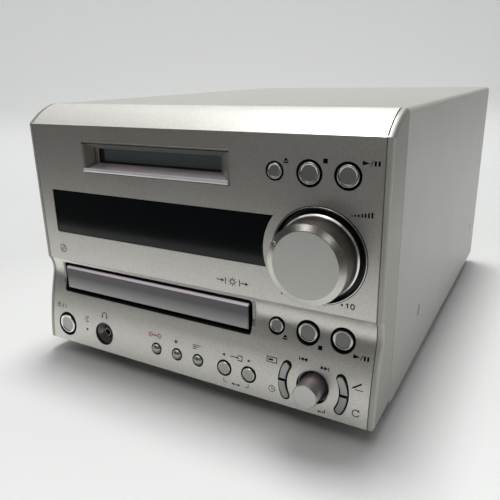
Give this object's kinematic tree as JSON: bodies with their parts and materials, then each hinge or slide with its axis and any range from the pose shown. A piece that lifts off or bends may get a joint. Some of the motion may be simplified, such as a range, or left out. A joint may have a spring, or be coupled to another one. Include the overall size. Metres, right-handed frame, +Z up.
{
  "type": "minidisc tuner",
  "caption": "Compact desktop receiver with a cartridge disc slot, a compact disc tray, a large volume knob and a curved lower front, in satin silver grey.",
  "frame": {"origin": "middle of the bounding box, at the bottom of the feet", "axes": "+X to the right seen from the front, +Y to the rear, +Z up; the front faces -Y"},
  "size_m": [0.205, 0.3002, 0.147],
  "materials": {
    "front_paint": "satin warm grey metallic paint",
    "cover_paint": "satin grey paint",
    "key_metal": "silver plating",
    "chrome": "polished",
    "knob_metal": "turned, satin face",
    "dark_plastic": "matte black",
    "white_plastic": "natural white",
    "window": "dark tinted, polished",
    "tube_glass": "dark glass",
    "board": "green circuit board",
    "steel": "plated sheet",
    "core": "varnished laminations",
    "aluminium": "bare",
    "rubber": "matte black",
    "screw": "dark plated"
  },
  "bodies": {
    "case": {"front_panel": "front_paint", "end_trims": "front_paint", "md_bezel": "front_paint", "display_window": "window", "display_tube": "tube_glass", "volume_ring": "dark_plastic", "volume_pot": "steel", "jog_well": "dark_plastic", "jog_encoder": "steel", "key_switches": "dark_plastic", "front_boards": "board", "phones_jack": "dark_plastic", "loader_drive": "steel", "cd_loader": "dark_plastic", "clamp_strip": "steel", "drive_bridge": "steel", "md_drive": "steel", "transformer": "core", "main_board": "board", "board_parts": "dark_plastic", "heat_sink": "aluminium", "bottom_chassis": "steel", "top_cover": "cover_paint", "rear_panel": "cover_paint", "rear_sockets": "dark_plastic", "ac_inlet": "dark_plastic", "feet": "rubber", "case_screws": "screw"},
    "md_eject_key": {"md_eject_key": "key_metal"},
    "md_stop_key": {"md_stop_key": "key_metal"},
    "md_play_key": {"md_play_key": "key_metal"},
    "cd_eject_key": {"cd_eject_key": "key_metal"},
    "cd_stop_key": {"cd_stop_key": "key_metal"},
    "cd_play_key": {"cd_play_key": "key_metal"},
    "standby_key": {"standby_key": "chrome"},
    "input_left_key": {"input_left_key": "key_metal"},
    "input_right_key": {"input_right_key": "key_metal"},
    "dubbing_key": {"dubbing_key": "key_metal"},
    "record_key": {"record_key": "key_metal"},
    "record_mode_key": {"record_mode_key": "key_metal"},
    "display_key": {"display_key": "key_metal"},
    "timer_key": {"timer_key": "key_metal"},
    "edit_key": {"edit_key": "key_metal"},
    "repeat_key": {"repeat_key": "key_metal"},
    "volume": {"volume_knob": "knob_metal", "volume_shaft": "steel"},
    "jog_spindle": {"jog_spindle": "steel"},
    "jog_knob": {"jog_knob": "knob_metal"},
    "md_flap": {"md_flap": "dark_plastic"},
    "tray": {"cd_tray": "dark_plastic", "tray_door": "front_paint"},
    "tray_gear": {"tray_gear": "white_plastic"},
    "motor_pulley": {"motor_pulley": "white_plastic"},
    "traverse": {"traverse": "steel", "guide_rods": "chrome"},
    "turntable": {"turntable": "dark_plastic"},
    "disc_clamp": {"disc_clamp": "white_plastic"},
    "pickup_sled": {"pickup_sled": "dark_plastic"},
    "md_holder": {"md_holder": "steel"},
    "md_spindle": {"md_spindle": "steel"}
  },
  "joints": [
    {"name": "md_eject_push", "type": "slide", "parent": "case", "child": "md_eject_key", "axis": [0, 1, 0], "range_m": [0, 0.0008], "stiffness_N_per_m": 800, "springref_m": -0.0004},
    {"name": "md_stop_push", "type": "slide", "parent": "case", "child": "md_stop_key", "axis": [0, 1, 0], "range_m": [0, 0.0008], "stiffness_N_per_m": 800, "springref_m": -0.0004},
    {"name": "md_play_push", "type": "slide", "parent": "case", "child": "md_play_key", "axis": [0, 1, 0], "range_m": [0, 0.0008], "stiffness_N_per_m": 800, "springref_m": -0.0004},
    {"name": "cd_eject_push", "type": "slide", "parent": "case", "child": "cd_eject_key", "axis": [0, 1, 0], "range_m": [0, 0.0008], "stiffness_N_per_m": 800, "springref_m": -0.0004},
    {"name": "cd_stop_push", "type": "slide", "parent": "case", "child": "cd_stop_key", "axis": [0, 1, 0], "range_m": [0, 0.0008], "stiffness_N_per_m": 800, "springref_m": -0.0004},
    {"name": "cd_play_push", "type": "slide", "parent": "case", "child": "cd_play_key", "axis": [0, 1, 0], "range_m": [0, 0.0008], "stiffness_N_per_m": 800, "springref_m": -0.0004},
    {"name": "standby_push", "type": "slide", "parent": "case", "child": "standby_key", "axis": [0, 1, 0], "range_m": [0, 0.0008], "stiffness_N_per_m": 800, "springref_m": -0.0004},
    {"name": "input_left_push", "type": "slide", "parent": "case", "child": "input_left_key", "axis": [0, 1, 0], "range_m": [0, 0.0008], "stiffness_N_per_m": 800, "springref_m": -0.0004},
    {"name": "input_right_push", "type": "slide", "parent": "case", "child": "input_right_key", "axis": [0, 1, 0], "range_m": [0, 0.0008], "stiffness_N_per_m": 800, "springref_m": -0.0004},
    {"name": "dubbing_push", "type": "slide", "parent": "case", "child": "dubbing_key", "axis": [0, 1, 0], "range_m": [0, 0.0008], "stiffness_N_per_m": 800, "springref_m": -0.0004},
    {"name": "record_push", "type": "slide", "parent": "case", "child": "record_key", "axis": [0, 1, 0], "range_m": [0, 0.0008], "stiffness_N_per_m": 800, "springref_m": -0.0004},
    {"name": "record_mode_push", "type": "slide", "parent": "case", "child": "record_mode_key", "axis": [0, 1, 0], "range_m": [0, 0.0008], "stiffness_N_per_m": 800, "springref_m": -0.0004},
    {"name": "display_push", "type": "slide", "parent": "case", "child": "display_key", "axis": [0, 1, 0], "range_m": [0, 0.0008], "stiffness_N_per_m": 800, "springref_m": -0.0004},
    {"name": "timer_push", "type": "slide", "parent": "case", "child": "timer_key", "axis": [0, 1, 0], "range_m": [0, 0.0008], "stiffness_N_per_m": 800, "springref_m": -0.0004},
    {"name": "edit_push", "type": "slide", "parent": "case", "child": "edit_key", "axis": [0, 1, 0], "range_m": [0, 0.0008], "stiffness_N_per_m": 800, "springref_m": -0.0004},
    {"name": "repeat_push", "type": "slide", "parent": "case", "child": "repeat_key", "axis": [0, 1, 0], "range_m": [0, 0.0008], "stiffness_N_per_m": 800, "springref_m": -0.0004},
    {"name": "volume_turn", "type": "hinge", "parent": "case", "child": "volume", "pos_m": [0.072, -0.1359, 0.08515], "axis": [0, 1, 0], "range_deg": [-88.6, 211.4]},
    {"name": "jog_push", "type": "slide", "parent": "case", "child": "jog_spindle", "axis": [0, 1, 0], "range_m": [0, 0.0006], "stiffness_N_per_m": 800, "springref_m": -0.0004},
    {"name": "jog_turn", "type": "hinge", "parent": "jog_spindle", "child": "jog_knob", "pos_m": [0.0723, -0.1359, 0.0222], "axis": [0, 1, 0], "continuous": true},
    {"name": "md_flap_swing", "type": "hinge", "parent": "case", "child": "md_flap", "pos_m": [-0.0176, -0.1297, 0.1262], "axis": [1, 0, 0], "range_deg": [0, 80], "stiffness_Nm_per_rad": 0.002, "springref_deg": -11.46},
    {"name": "tray_slide", "type": "slide", "parent": "case", "child": "tray", "axis": [0, -1, 0], "range_m": [0, 0.132]},
    {"name": "tray_gear_turn", "type": "hinge", "parent": "case", "child": "tray_gear", "pos_m": [-0.072, -0.0979, 0.033], "axis": [0, 0, 1], "range_deg": [0, 950]},
    {"name": "motor_pulley_turn", "type": "hinge", "parent": "case", "child": "motor_pulley", "pos_m": [-0.04, -0.0979, 0.024], "axis": [0, 0, 1], "range_deg": [0, 3800]},
    {"name": "traverse_lift", "type": "slide", "parent": "case", "child": "traverse", "axis": [0, 0, 1], "range_m": [0, 0.0096]},
    {"name": "turntable_spin", "type": "hinge", "parent": "traverse", "child": "turntable", "pos_m": [-0.026, -0.0599, 0.041], "axis": [0, 0, 1], "continuous": true},
    {"name": "disc_clamp_spin", "type": "hinge", "parent": "case", "child": "disc_clamp", "pos_m": [-0.026, -0.0599, 0.052], "axis": [0, 0, 1], "continuous": true},
    {"name": "pickup_slide", "type": "slide", "parent": "traverse", "child": "pickup_sled", "axis": [0, 1, 0], "range_m": [0, 0.034]},
    {"name": "md_holder_drop", "type": "slide", "parent": "case", "child": "md_holder", "axis": [0, 0, -1], "range_m": [0, 0.003]},
    {"name": "md_spindle_spin", "type": "hinge", "parent": "case", "child": "md_spindle", "pos_m": [-0.0176, -0.0749, 0.106], "axis": [0, 0, 1], "continuous": true}
  ],
  "couplings": [
    {"joint": "tray_gear_turn", "follows": "tray_slide", "rad_per_m": 125},
    {"joint": "motor_pulley_turn", "follows": "tray_slide", "rad_per_m": 500},
    {"joint": "disc_clamp_spin", "follows": "turntable_spin", "ratio": 1}
  ]
}
